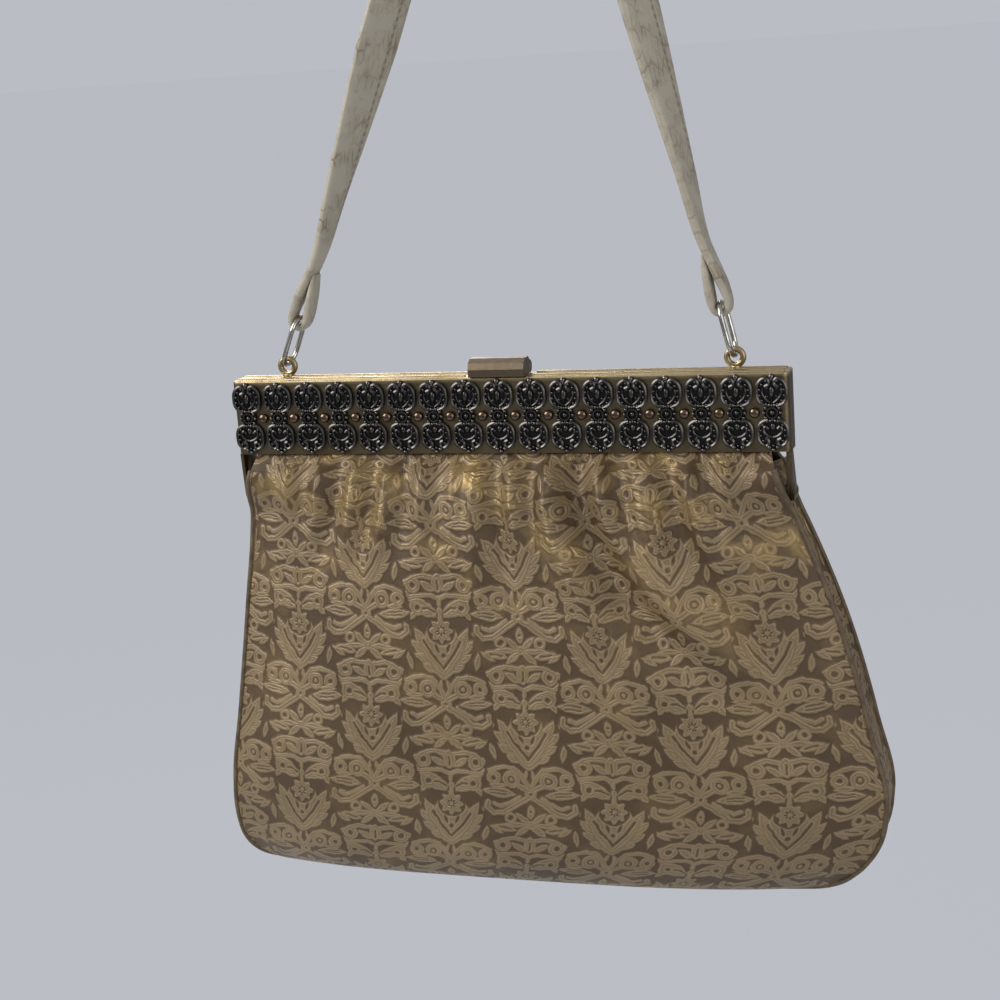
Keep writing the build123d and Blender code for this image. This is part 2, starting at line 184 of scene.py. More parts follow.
# %% Light and surround
lamp_target = Vector((0, 0, 0.1))
for lamp_name, lamp_place, lamp_size, lamp_power in (
    ("window_light", (-0.85, -0.60, 0.85), 0.8, 16.0),
    ("side_light", (0.8, -0.5, 0.35), 0.7, 3.5),
    ("back_light", (-0.5, 0.7, 0.7), 0.6, 7.0),
):
    lamp_data = bpy.data.lights.new(lamp_name, "AREA")
    lamp_data.size = lamp_size
    lamp_data.energy = lamp_power
    lamp = bpy.data.objects.new(lamp_name, lamp_data)
    lamp_turn = (lamp_target - Vector(lamp_place)).to_track_quat("-Z", "Y")
    lamp.matrix_world = Matrix.Translation(lamp_place) @ lamp_turn.to_matrix().to_4x4()
    bpy.context.scene.collection.objects.link(lamp)

wall_colour = (0.49, 0.51, 0.55)
unseen_light = 0.45
surround = bpy.data.worlds.new("pale_surround")
surround.use_nodes = True
bpy.context.scene.world = surround
sky = surround.node_tree.nodes["Background"]
rays = surround.node_tree.nodes.new("ShaderNodeLightPath")
seen = Value(rays.outputs["Is Camera Ray"]).math("MAXIMUM", Value(rays.outputs["Is Glossy Ray"]))
sky.inputs["Color"].default_value = (*wall_colour, 1)
sky_strength = seen * (1 - unseen_light) + unseen_light
surround.node_tree.links.new(sky_strength.socket, sky.inputs["Strength"])
print("lamps:", len(bpy.data.lights))

# %% Floor
floor_size, floor_height, floor_glow = 120.0, -0.3, 0.96
bpy.ops.object.select_all(action="DESELECT")
bpy.ops.mesh.primitive_grid_add(
    x_subdivisions=4, y_subdivisions=4, size=floor_size, location=(0, 0, floor_height)
)
floor = bpy.context.object
floor.name = "floor"
floor_finish, floor_shader = new_finish("pale_plaster")[:2]
feed(floor_shader, Base_Color=(0.62, 0.65, 0.70, 1), Roughness=0.95)
floor_tree = floor_finish.node_tree
floor_rays = Value(floor_tree.nodes.new("ShaderNodeLightPath").outputs["Is Camera Ray"])
wall_light = floor_rays.node("ShaderNodeEmission", inputs={"Color": (*wall_colour, 1), "Strength": 1.0})
floor_look = floor_rays.node(
    "ShaderNodeMixShader",
    inputs={0: floor_rays * floor_glow, 1: Value(floor_shader.outputs[0]), 2: wall_light},
)
floor_tree.links.new(floor_look.socket, floor_tree.nodes["Material Output"].inputs["Surface"])
floor.data.materials.append(floor_finish)
print("floor at", floor.location.z)

# %% [markdown]
# ## Helpers for soft sheets and wires
# Leather is a flat sheet before it is a bag, so each panel starts as a grid primitive whose vertices are
# then moved to their places, and its UV map keeps the flat lengths in millimetres, so that the pressed
# pattern lies on the leather as it was cut. Wires start as curves with a round bevel and become meshes.


# %% Grid, wire and finishing helpers
def follow(place, places, sizes):
    """A smooth curve through a table, by cubic pieces with slopes from the neighbours."""
    places, sizes = np.array(places, float), np.array(sizes, float)
    slopes = np.gradient(sizes, places)
    at = np.clip(np.searchsorted(places, place) - 1, 0, len(places) - 2)
    width = places[at + 1] - places[at]
    share = np.clip((place - places[at]) / width, 0, 1)
    square, cube = share**2, share**3
    return (
        (2 * cube - 3 * square + 1) * sizes[at]
        + (cube - 2 * square + share) * width * slopes[at]
        + (3 * square - 2 * cube) * sizes[at + 1]
        + (cube - square) * width * slopes[at + 1]
    )


def ease(value, low, high):
    """0 below low and 1 above high, with a smooth rise between."""
    share = np.clip((value - low) / (high - low), 0, 1)
    return share * share * (3 - 2 * share)


def select_only(*pieces):
    """Selects the pieces and makes the first one active."""
    bpy.ops.object.select_all(action="DESELECT")
    for piece in pieces:
        piece.select_set(True)
    bpy.context.view_layer.objects.active = pieces[0]


def shaped_grid(name, columns, rows, place):
    """A grid whose points go where place(across, along) puts them, with its flat lengths as UVs."""
    bpy.ops.object.select_all(action="DESELECT")
    bpy.ops.mesh.primitive_grid_add(x_subdivisions=columns, y_subdivisions=rows, size=2)
    sheet = bpy.context.object
    sheet.name = name
    mesh = sheet.data
    points = np.empty(3 * len(mesh.vertices))
    mesh.vertices.foreach_get("co", points)
    points = points.reshape(-1, 3)
    moved, flat = place(points[:, 0], points[:, 1])
    mesh.vertices.foreach_set("co", (moved * MM).ravel())
    corners = np.empty(len(mesh.loops), int)
    mesh.loops.foreach_get("vertex_index", corners)
    mesh.uv_layers.active.data.foreach_set("uv", flat[corners].ravel())
    mesh.update()
    return sheet


def close_and_turn_out(piece, merge=1e-6):
    """Merges doubles and points the faces outwards."""
    select_only(piece)
    bpy.ops.object.mode_set(mode="EDIT")
    bpy.ops.mesh.select_all(action="SELECT")
    bpy.ops.mesh.remove_doubles(threshold=merge)
    bpy.ops.mesh.normals_make_consistent(inside=False)
    bpy.ops.object.mode_set(mode="OBJECT")


def give(piece, kind, **settings):
    """Adds a modifier to the piece and applies it."""
    bpy.context.view_layer.objects.active = piece
    modifier = piece.modifiers.new(kind.lower(), kind)
    for key, value in settings.items():
        setattr(modifier, key, value)
    bpy.ops.object.modifier_apply(modifier=modifier.name)


def smooth(piece, angle):
    """Shades the piece smooth, apart from edges sharper than an angle in degrees."""
    select_only(piece)
    bpy.ops.object.shade_smooth_by_angle(angle=radians(angle))


def joined(name, pieces):
    """Several meshes as one piece, with its place in its mesh."""
    select_only(*pieces)
    bpy.ops.object.transform_apply(location=True, rotation=True, scale=True)
    bpy.ops.object.join()
    whole = bpy.context.object
    whole.name = name
    return whole


def wire(points, radius, closed=False, steps=6, sides=2):
    """A round wire along a smooth curve through points, in millimetres, as a mesh."""
    curve = bpy.data.curves.new("wire", "CURVE")
    curve.dimensions = "3D"
    curve.bevel_depth = radius * MM
    curve.bevel_resolution = sides
    curve.resolution_u = steps
    curve.use_fill_caps = True
    spline = curve.splines.new("BEZIER")
    spline.bezier_points.add(len(points) - 1)
    for bend, point in zip(spline.bezier_points, points):
        bend.co = Vector(point) * MM
        bend.handle_left_type = bend.handle_right_type = "AUTO"
    spline.use_cyclic_u = closed
    piece = bpy.data.objects.new("wire", curve)
    bpy.context.scene.collection.objects.link(piece)
    select_only(piece)
    bpy.ops.object.convert(target="MESH")
    return bpy.context.object


def bead(place, radius, shape=(1, 1, 1), fineness=2):
    """A small ball, stretched or flattened by its shape."""
    bpy.ops.object.select_all(action="DESELECT")
    bpy.ops.mesh.primitive_ico_sphere_add(
        subdivisions=fineness, radius=radius * MM, location=Vector(place) * MM, scale=shape
    )
    return bpy.context.object


def report(piece):
    print(piece.name, len(piece.data.polygons), "faces")


print("modelling helpers ready")

# %% [markdown]
# ## The pressed damask
# The leather is pressed with a small damask: a leafy shield with a star flower, and below it two scrolls
# that meet like a butterfly, repeated with a half drop. Each form is a distance in millimetres, below zero
# inside, so forms join with a minimum and veins are cut with a maximum. The pattern is folded into one half
# column first, so each form is drawn once. The press swells every form a little, but not the veins.

# %% Forms of the damask
press_swell = 0.20


def joined_forms(*forms):
    whole = forms[0]
    for form in forms[1:]:
        whole = whole.math("MINIMUM", form)
    return whole


def cut(form, *veins):
    for vein in veins:
        form = form.math("MAXIMUM", vein.math("MULTIPLY_ADD", -1.0, -press_swell))
    return form


def apart(place, centre):
    return place.vector("DISTANCE", (*centre, 0), "Value")


def spot(place, centre, radius):
    return apart(place, centre) - (radius + press_swell)


def ring(place, centre, radius, half_line):
    return abs(apart(place, centre) - radius) - (half_line + press_swell)


def leaf(place, tip, base, width):
    """The lens between two circles that cross at the tip and the base."""
    length = hypot(base[0] - tip[0], base[1] - tip[1])
    radius = (length**2 + width**2) / (4 * width)
    centre = ((tip[0] + base[0]) / 2, (tip[1] + base[1]) / 2)
    aside = ((tip[1] - base[1]) / length, (base[0] - tip[0]) / length)
    shift = radius - width / 2
    left = (centre[0] + aside[0] * shift, centre[1] + aside[1] * shift)
    right = (centre[0] - aside[0] * shift, centre[1] - aside[1] * shift)
    return apart(place, left).math("MAXIMUM", apart(place, right)) - (radius + press_swell)


def stroke(place, half_line, *bends):
    """A line of even width through the bends."""
    nearest = None
    for start, end in zip(bends, bends[1:]):
        run = (end[0] - start[0], end[1] - start[1])
        square = run[0] ** 2 + run[1] ** 2
        from_start = place.vector("SUBTRACT", (*start, 0))
        share = from_start.vector("DOT_PRODUCT", (run[0] / square, run[1] / square, 0), "Value")
        share = share.math("MAXIMUM", 0.0).math("MINIMUM", 1.0)
        foot = share.node("ShaderNodeVectorMath", {"operation": "SCALE"}, {0: (*run, 0), "Scale": share})
        distance = from_start.vector("DISTANCE", foot, "Value")
        nearest = distance if nearest is None else nearest.math("MINIMUM", distance)
    return nearest - (half_line + press_swell)


def star(place, across, along, centre, radius, depth, petals=8.0):
    angle = (along - centre[1]).math("ARCTAN2", across)
    return apart(place, centre) - (angle * petals).math("COSINE") * depth - (radius + press_swell)


print("forms swell by", press_swell, "mm")

# %% The whole damask
half_column, column, drop, repeat = 12.5, 25.0, 27.5, 55.0
border_swing, border_shift, repeat_top = 2.6, 18.0, 23.4


def damask(across, along):
    """Distance to the nearest edge of the figure, in millimetres, from flat lengths in millimetres."""
    folded = across.math("PINGPONG", column)
    border = ((along + border_shift) * (2 * pi / repeat)).math("COSINE") * border_swing + half_column
    second = folded.math("GREATER_THAN", border)
    across = folded + second * (column - 2.0 * folded)
    along = (along - second * drop).math("WRAP", repeat_top, repeat_top - repeat)
    p = across.node("ShaderNodeCombineXYZ", inputs={0: across, 1: along})
    flower = (0, 5.6)
    shield = cut(
        joined_forms(
            leaf(p, (0.6, -8.4), (8.6, 6.2), 4.4),
            leaf(p, (5.6, -2.0), (9.9, 2.4), 2.3),
            leaf(p, (4.2, -4.6), (9.0, -1.6), 2.2),
            leaf(p, (2.2, -7.0), (6.6, -5.0), 2.0),
            leaf(p, (0, -9.4), (0, 9.6), 12.0),
        ),
        stroke(p, 0.42, (0, -6.0), (3.6, -1.6), (6.0, 2.4)),
        spot(p, (0, -2.2), 0.75),
        leaf(p, (1.2, -1.4), (2.4, 1.6), 1.0),
        spot(p, flower, 4.5),
    )
    blossom = cut(
        star(p, across, along, flower, 3.2, 0.55),
        cut(star(p, across, along, flower, 1.25, 0.45), spot(p, flower, 0.5)),
    )
    birds = cut(
        joined_forms(
            leaf(p, (0.8, 10.2), (9.8, 14.9), 4.2),
            spot(p, (7.2, 12.9), 2.5),
            leaf(p, (7.6, 11.6), (10.2, 9.0), 1.5),
            leaf(p, (0, 8.9), (0, 12.8), 2.0),
        ),
        spot(p, (7.2, 12.7), 0.85),
        stroke(p, 0.3, (1.6, 11.3), (3.6, 12.6), (5.2, 12.6)),
        leaf(p, (1.0, 9.2), (0.9, 11.4), 0.6),
    )
    bracket = joined_forms(
        stroke(p, 0.45, (0, 13.6), (0, 15.6)),
        stroke(p, 0.55, (0, 15.4), (2.6, 16.6), (6.2, 16.4), (9.6, 15.9), (11.2, 17.2)),
    )
    curls = joined_forms(
        ring(p, (8.4, 19.6), 1.75, 0.62),
        stroke(p, 0.6, (8.6, 21.6), (5.4, 22.6), (1.6, 22.0)),
        cut(leaf(p, (0, 17.4), (0, 23.2), 3.6), stroke(p, 0.3, (0, 18.4), (0, 21.0))),
        leaf(p, (1.2, 17.9), (5.6, 20.6), 1.9),
        leaf(p, (10.0, 21.2), (12.4, 19.0), 1.2),
    )
    crossing = joined_forms(
        spot(p, (0, -27.4), 1.2),
        leaf(p, (0.3, -27.2), (4.4, -23.6), 1.7),
        leaf(p, (0.3, -27.8), (4.6, -31.4), 1.8),
        leaf(p, (1.0, -27.5), (8.2, -27.6), 1.5),
        ring(p, (6.2, -25.2), 1.35, 0.35),
        cut(leaf(p, (4.4, -29.6), (11.2, -28.2), 2.1), stroke(p, 0.25, (6.0, -29.2), (9.6, -28.5))),
        leaf(p, (8.6, -30.9), (12.4, -28.4), 1.4),
        cut(leaf(p, (0, -25.2), (0, -20.8), 2.0), spot(p, (0, -22.8), 0.4)),
    )
    long_arm = ((0.8, -18.4), (4.4, -20.8), (8.4, -23.6), (11.4, -24.0), (13.6, -22.4), (13.4, -20.6))
    arms = joined_forms(
        stroke(p, 0.72, *long_arm),
        stroke(p, 0.5, (3.6, -18.4), (6.6, -20.4), (9.4, -21.6), (11.4, -20.8)),
        cut(
            leaf(p, (4.6, -17.4), (14.8, -16.6), 2.8),
            stroke(p, 0.22, (7.6, -16.7), (12.4, -16.2)),
            stroke(p, 0.22, (7.6, -17.6), (12.4, -17.3)),
        ),
    )
    eye = (5.7, -12.6)
    brow = ((0.2, -15.2), (2.4, -11.4), (4.2, -9.3), (7.4, -8.6), (10.2, -9.2), (12.6, -10.2))
    wings = joined_forms(
        ring(p, (0, -17.2), 1.15, 0.5),
        stroke(p, 0.55, *brow),
        cut(spot(p, eye, 2.6), cut(spot(p, eye, 1.25), spot(p, eye, 0.45))),
        ring(p, (11.2, -12.3), 1.55, 0.58),
        stroke(p, 0.7, (0.6, -16.0), (3.6, -14.4)),
        leaf(p, (7.4, -14.8), (12.6, -14.7), 1.5),
        leaf(p, (0.9, -9.6), (1.8, -13.2), 0.9),
    )
    fillers = joined_forms(leaf(p, (10.4, -6.4), (11.6, -1.2), 1.5), spot(p, (10.9, 4.6), 0.8))
    return joined_forms(shield, blossom, birds, bracket, curls, crossing, arms, wings, fillers)


print("damask repeats every", repeat, "mm")

# %% Damask leather
pattern_scale, pattern_scale_up = 0.972, 0.968
pattern_shift, pattern_shift_up = -0.5, 4.7
wander_reach, inner_line_depth = 1.2, 0.80
leather_finish, leather_shader, flat_place = new_finish("damask_leather", "UV")
flat_across, flat_up = flat_place.axis(0), flat_place.axis(1)
wander = (noise(flat_place, 0.35, 2.0) - 0.5) * wander_reach
figure_edge = damask(
    flat_across * pattern_scale + wander + pattern_shift,
    flat_up * pattern_scale_up + wander + pattern_shift_up,
)
inside = -figure_edge
inner_line = 1.0 - contrast(abs(figure_edge + inner_line_depth), 0.05, 0.20)
raised = contrast(inside, -0.2, 0.18) - inner_line * 0.45
soft_raised = contrast(inside, -0.5, 0.4) - inner_line * 0.35
wear = contrast(noise(flat_place, 0.03, 3.0), 0.42, 0.66)
grain = noise(flat_place, 1.6, 4.0, 0.6)
# Painted glint: a golden colour painted onto the leather as glints of light, strongest near the frame; there
# the leather is also more metallic and less rough, its own sheen
near_frame = contrast(flat_up, 78.0, 138.0) * 0.8 + 0.2
painted_glint = contrast(noise(flat_place, 0.05, 4.0, 0.6), 0.50, 0.68) * near_frame
ground = wear.mix((0.068, 0.038, 0.0145), (0.092, 0.053, 0.021))
figure = wear.mix((0.240, 0.168, 0.088), (0.292, 0.208, 0.112))
speckle = contrast(grain, 0.35, 0.75)
pressed_colour = (speckle * 0.18).mix(raised.mix(ground, figure), (0.12, 0.085, 0.042))
feed(
    leather_shader,
    # the golden colour (0.42, 0.29, 0.115) is the painted glint, mixed in where its mask is high
    Base_Color=(painted_glint * 0.75).mix(pressed_colour, (0.42, 0.29, 0.115)),
    Metallic=raised * 0.10 + painted_glint * 0.45 + 0.18,
    Roughness=0.50 - raised * 0.04 + speckle * 0.1 - painted_glint * 0.14,
    Normal=bump(soft_raised * 0.8 + grain * 0.35, 0.00035),
)
print("damask leather:", len(leather_finish.node_tree.nodes), "nodes")

# %% Plain leather of the welts and the flesh side, and the satin of the lining
welt_finish, welt_shader, welt_place = new_finish("dark_welt_leather")
welt_cloud = contrast(noise(welt_place, 260.0), 0.35, 0.7)
feed(
    welt_shader,
    Base_Color=welt_cloud.mix((0.075, 0.048, 0.024), (0.150, 0.105, 0.055)),
    Metallic=0.1,
    Roughness=welt_cloud * 0.15 + 0.45,
    Normal=bump(noise(welt_place, 900.0), 0.0002),
)
weft_pitch, warp_pitch = 0.7, 0.5
cloth_finish, cloth_shader, cloth_place = new_finish("lining_satin", "UV")
cloth_cloud = contrast(noise(cloth_place, 0.08), 0.3, 0.7)
weft = (cloth_place.axis(1) * (2 * pi / weft_pitch)).math("SINE")
warp = (cloth_place.axis(0) * (2 * pi / warp_pitch)).math("SINE")
feed(
    cloth_shader,
    Base_Color=cloth_cloud.mix((0.17, 0.115, 0.065), (0.24, 0.17, 0.10)),
    Roughness=weft * 0.06 + 0.45,
    Normal=bump((warp * weft) * 0.5 + 0.5, 0.00008),
)
print("plain leather and satin ready")

# %% [markdown]
# ## Leather body
# On the real bag two panels are gathered into the frame, swell below it, and meet two narrow gussets in
# turned seams. The bag hangs a little to one side, so its outline is read from the photograph as a half
# width and a middle at each height. The gathers are folds with a place, a lean, a width, a depth and a
# length each.

# %% Side profile and outline
profile_depths = (3.6, 3.7, 6.4, 10.3, 13.2, 14.8, 18.0, 21.4, 23.5, 24.0, 22.8, 19.2, 13.0, 6.4, 0.0)
profile_heights = (148, 144.3, 141.4, 138.2, 133, 127, 108, 82.5, 58, 38, 24, 12, 4, 0.9, 0.3)
profile_runs = np.hypot(np.diff(profile_depths), np.diff(profile_heights))
profile_steps = np.concatenate([[0], np.cumsum(profile_runs)])
panel_top, panel_length = profile_heights[0], profile_steps[-1]
outline_heights = (0, 4, 9, 18, 33, 57, 93, 127, 131, 138, 144, 148)
outline_halves = (77.5, 94.6, 102.2, 107.3, 109.0, 104.6, 97.0, 88.3, 87.4, 85.6, 83.8, 83.2)
outline_middles = (-10, -1.5, 1.2, 4.2, 6.6, 6.8, 5.4, 1.4, 0.6, 0.3, 0, 0)
seam_share, side_roundness = 0.36, 3.5
seam_open_low, seam_open_high = 124, 144


def half_width(height):
    return follow(height, outline_heights, outline_halves)


def middle(height):
    return follow(height, outline_heights, outline_middles)


def side_profile(down):
    """Height and depth of a panel's middle line, after a length down from the frame."""
    return follow(down, profile_steps, profile_heights), follow(down, profile_steps, profile_depths)


def depth_share(across, height):
    """1 in the middle of a panel, falling to the seam's share of the depth at its sides."""
    at_seam = 1 - (1 - seam_share) * (1 - ease(height, seam_open_low, seam_open_high))
    return 1 - (1 - at_seam) * np.abs(across) ** side_roundness


def seam_profile(down):
    """Height and depth of the side seams, after a length down from the frame."""
    height, depth = side_profile(down)
    return height, depth * depth_share(1, height)


def down_at(along, start, end):
    """The length down from the frame at a grid's along, from start at 1 to end at -1."""
    return np.interp((1 - along) / 2, (0, 1), (start, end))


print("panel length", round(float(panel_length), 1), "mm")

# %% Gathers and slow waves of the leather
gather_top, gather_start, fade_share = 144, 5, 0.35
lean_reach, spread_reach = 40, 60
shoulder_share, shoulder_place, shoulder_sharpness = 0.75, 1.6, 2
front_folds = (
    (-78, -0.12, 3.4, 2.2, 38), (-66, -0.10, 3.0, 1.6, 30), (-54, -0.20, 3.4, 2.5, 44),
    (-42, -0.26, 3.0, 2.2, 42), (-31, -0.10, 3.0, 1.8, 40), (-20, 0.05, 2.8, 1.5, 30),
    (-2, 0.10, 3.2, 2.9, 52), (10, 0.06, 2.6, 1.4, 30), (24, 0.34, 4.4, 5.0, 92),
    (38, 0.20, 2.8, 1.7, 36), (53, 0.26, 3.5, 3.5, 62), (65, 0.12, 2.8, 1.6, 32),
    (76, 0.16, 3.0, 2.0, 38),
)
back_spread, back_shift, back_depth = 0.98, -2.0, 3.0
back_folds = tuple(
    (fold_x * back_spread + back_shift, -lean, width, min(depth, back_depth), length)
    for fold_x, lean, width, depth, length in front_folds
)
sag_depth, sag_top, sag_start = 0.9, 138, 30
sag_width, sag_phase, sag_height, sag_phase_up = 15, 0.8, 38, 1.2


def gathers(x, height, folds):
    """How far the folds stand out, in millimetres: a valley between two shoulders each."""
    below = np.clip(gather_top - height, 0, None)
    relief = np.zeros_like(x)
    for fold_x, lean, width, depth, length in folds:
        off = (x - fold_x - lean * below**2 / lean_reach) / (width * (1 + below / spread_reach))
        fade = ease(below, 0, gather_start) * (1 - ease(below, length * fade_share, length))
        shoulders = np.exp(-((np.abs(off) - shoulder_place) ** 2) * shoulder_sharpness)
        relief += depth * fade * (shoulder_share * shoulders - np.exp(-(off**2)))
    return relief


def sag(x, height):
    """Slow waves that die out towards the frame, in millimetres."""
    waves = np.sin(x / sag_width + sag_phase) * np.sin(height / sag_height + sag_phase_up)
    return sag_depth * waves * ease(sag_top - height, 0, sag_start)


print("gathers:", len(front_folds), "on each face")

# %% Front and back panels
leather_wall = 1.2
quiet_power, quiet_bottom = 6, 14
flat_half, flat_taper = 50, 0.5
panel_columns, panel_rows = 210, 130


def panel_place(facing, folds):
    """Where the points of the front (-1) or back (1) panel go, and their flat lengths."""

    def place(across, along):
        down = down_at(along, 0, panel_length)
        height, depth = side_profile(down)
        x = middle(height) + across * half_width(height)
        quiet = (1 - np.abs(across) ** quiet_power) * ease(height, 0, quiet_bottom)
        relief = (gathers(x, height, folds) + sag(x, height)) * quiet
        y = facing * np.clip(depth * depth_share(across, height) + relief, 0, None)
        flat_x = across * (half_width(height) * flat_taper + flat_half)
        return np.stack([x, y, height], 1), np.stack([flat_x, panel_top - down], 1)

    return place


def finish_leather(sheet, turned):
    """Turns a sheet's good side out where it needs turning, and gives it leather and a wall."""
    sheet.data.materials.append(leather_finish)
    sheet.data.materials.append(welt_finish)
    select_only(sheet)
    if turned:
        bpy.ops.object.mode_set(mode="EDIT")
        bpy.ops.mesh.select_all(action="SELECT")
        bpy.ops.mesh.flip_normals()
        bpy.ops.object.mode_set(mode="OBJECT")
    wall = leather_wall * MM
    give(sheet, "SOLIDIFY", thickness=wall, offset=-1, material_offset=1, material_offset_rim=1)
    smooth(sheet, 60)


front_panel = shaped_grid("front_panel_leather", panel_columns, panel_rows, panel_place(-1, front_folds))
finish_leather(front_panel, turned=False)
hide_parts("front_panel")
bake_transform(front_panel)
report(front_panel)
back_panel = shaped_grid("back_panel_leather", panel_columns, panel_rows, panel_place(1, back_folds))
finish_leather(back_panel, turned=True)
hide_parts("back_panel")
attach(back_panel, "bag")
report(back_panel)

# %% Gussets
gusset_top, gusset_flat_half = 11.0, 15
gusset_fold, gusset_fold_low, gusset_fold_high, gusset_fold_power = 2.4, 30, 127, 1.4
gusset_columns, gusset_rows = 32, 110
sides = ((-1, "left"), (1, "right"))


def gusset_place(side):
    """Where the points of the left (-1) or right (1) gusset go, and their flat lengths."""

    def place(across, along):
        down = down_at(along, gusset_top, panel_length)
        height, depth = seam_profile(down)
        fold_in = ease(height, gusset_fold_low, gusset_fold_high) * (1 - np.abs(across) ** gusset_fold_power)
        x = middle(height) + side * (half_width(height) - gusset_fold * fold_in)
        flat = np.stack([across * gusset_flat_half, panel_top - down], 1)
        return np.stack([x, across * depth, height], 1), flat

    return place


for side, side_name in sides:
    gusset = shaped_grid(f"{side_name}_gusset_leather", gusset_columns, gusset_rows, gusset_place(side))
    finish_leather(gusset, turned=side < 0)
    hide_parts(f"{side_name}_gusset")
    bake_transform(gusset)
    report(gusset)

# %% Welts along the seams
welt_radius, welt_points, welt_end = 0.8, 30, 1
sink_depth, sink_from, sink_to = 1.7, 16, 5
welt_down = np.linspace(gusset_top, panel_length - welt_end, welt_points)
seam_height, seam_depth = seam_profile(welt_down)
welt_height = seam_height + sink_depth * ease(welt_down, panel_length - sink_from, panel_length - sink_to)
for side, side_name in sides:
    welt_x = middle(seam_height) + side * half_width(seam_height)
    for facing, face_name in ((-1, "front"), (1, "back")):
        welt = wire(list(zip(welt_x, facing * seam_depth, welt_height)), welt_radius, steps=5)
        welt.name = f"{side_name}_{face_name}_welt"
        welt.data.materials.append(welt_finish)
        smooth(welt, 60)
        if facing < 0:
            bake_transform(welt)
        else:
            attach(welt, "bag")
        report(welt)

# %% [markdown]
# ## Lining
# A satin pouch hangs inside the leather and shows when the frame is open. It is two sheets that meet at the
# sides, set in from the leather, and further in behind the gathers. Its mouth is at the level of the hinges.

# %% Lining pouch
lining_top, lining_end, lining_lift = 24.0, 5, 1.6
lining_share, lining_inset, lining_side_gap, lining_roundness = 0.9, 2.0, 3.4, 5
fold_room, fold_room_low, fold_room_high = 3.6, 70, 110
lining_flat_half, lining_wall = 100, 0.5
lining_columns, lining_rows = 70, 60


def lining_place(facing):
    """Where the points of the front (-1) or back (1) half of the lining go, and their flat lengths."""

    def place(across, along):
        down = down_at(along, lining_top, panel_length - lining_end)
        height, depth = side_profile(down)
        inset = lining_inset + fold_room * ease(height, fold_room_low, fold_room_high)
        depth = np.clip(depth * lining_share - inset, 0, None)
        x = middle(height) + across * (half_width(height) - lining_side_gap)
        y = facing * depth * (1 - np.abs(across) ** lining_roundness)
        flat = np.stack([across * lining_flat_half, panel_top - down], 1)
        return np.stack([x, y, height + lining_lift], 1), flat

    return place


lining_halves = []
for facing in (-1, 1):
    half = shaped_grid("lining_half", lining_columns, lining_rows, lining_place(facing))
    half.data.materials.append(cloth_finish)
    lining_halves.append(half)
lining = joined("lining_pouch", lining_halves)
close_and_turn_out(lining, 1e-5)
give(lining, "SOLIDIFY", thickness=lining_wall * MM, offset=-1)
smooth(lining, 60)
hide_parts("lining")
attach(lining, "bag")
report(lining)

# %% [markdown]
# ## Brass frame
# The frame's halves, rivets, clasp and their pins have their true shapes in the CAD model, so they stay and
# get a worn brass. The top is bright brass, and the plate below it is painted a darker brown as a painted
# shade.


# %% Brass
def refinish(node_name, finish):
    """Gives a CAD node one material in place of its own."""
    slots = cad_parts[node_name].data.materials
    slots.clear()
    slots.append(finish)


# Below the frame's top the brass is painted a darker brown: a painted shade on the plate
brown_below, bright_above = 166.4 * MM, 167.4 * MM
brass_finish, brass_shader, brass_place = new_finish("worn_brass_with_painted_shade")
tarnish = contrast(noise(brass_place, 70.0, 5.0, 0.65), 0.40, 0.72)
scratches = noise(brass_place.vector("MULTIPLY", (40.0, 900.0, 900.0)), 1.0, 2.0)
# painted shade: 1 on the plate below the top, where the darker plate colour goes
plate_painted_shade = 1.0 - contrast(brass_place.axis(2), brown_below, bright_above)
top_colour = tarnish.mix((0.37, 0.295, 0.170), (0.22, 0.158, 0.083))
plate_colour = tarnish.mix((0.165, 0.125, 0.072), (0.080, 0.059, 0.035))
feed(
    brass_shader,
    Base_Color=plate_painted_shade.mix(top_colour, plate_colour),
    Metallic=1.0,
    Roughness=tarnish * 0.16 + scratches * 0.12 + 0.28,
    Normal=bump(scratches, 0.00004),
)
rivets = ("left_hinge_rivet", "right_hinge_rivet")
for node_name in ("front_frame", "rear_frame", *rivets, "clasp_lug", "clasp_pin"):
    refinish(node_name, brass_finish)

clasp_finish, clasp_shader, clasp_place = new_finish("rubbed_clasp_brass")
clasp_rub = contrast(noise(clasp_place, 160.0, 4.0), 0.35, 0.7)
feed(
    clasp_shader,
    Base_Color=clasp_rub.mix((0.200, 0.155, 0.105), (0.110, 0.078, 0.050)),
    Metallic=1.0,
    Roughness=clasp_rub * 0.15 + 0.30,
    Normal=bump(noise(clasp_place, 700.0), 0.00004),
)
refinish("clasp_lever", clasp_finish)
print("brass on the frame")

# %% Ridges along the top of the frame
frame_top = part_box("front_frame")[1][2] / MM
ridge_radius, ridge_sink = 0.85, 0.25
ridge_bends = (11.0, 37.0, 63.0, 88.6)
for ridge_name, ridge_body, ridge_y in (
    ("front_top_ridge", "front_half", -2.9),
    ("rear_top_ridge", "bag", 2.4),
):
    ridge_runs = []
    for side in (-1, 1):
        run = [(side * x, ridge_y, frame_top - ridge_sink) for x in ridge_bends]
        ridge_runs.append(wire(run, ridge_radius, steps=2, sides=4))
    ridge = joined(ridge_name, ridge_runs)
    ridge.data.materials.append(brass_finish)
    smooth(ridge, 50)
    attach(ridge, ridge_body)
    report(ridge)

# %% [markdown]
# ## Filigree band
# Seventeen stamped units stand side by side on the front plate. Each is an hourglass: two scrolls form a
# round lobe above and another below, with a seed, leaves and a ring of grains in each, a rosette at the
# waist, and beads at the ends. One unit is bent from wire and beads and copied along the band by an Array
# modifier.

# %% Places on the band, and the pieces of a unit
unit_count, scroll_narrowing = 17, 0.94
band_near, band_far = ([length / MM for length in corner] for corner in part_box("filigree_band"))
plate_face_y = band_far[1]
band_z = (band_near[2] + band_far[2]) / 2
unit_pitch = (band_far[0] - band_near[0]) / unit_count
unit_x = band_near[0] + unit_pitch / 2


def on_band(x, z, lift):
    """A place from the first unit's centre, at a height above the plate."""
    return (unit_x + x, plate_face_y - lift, band_z + z)


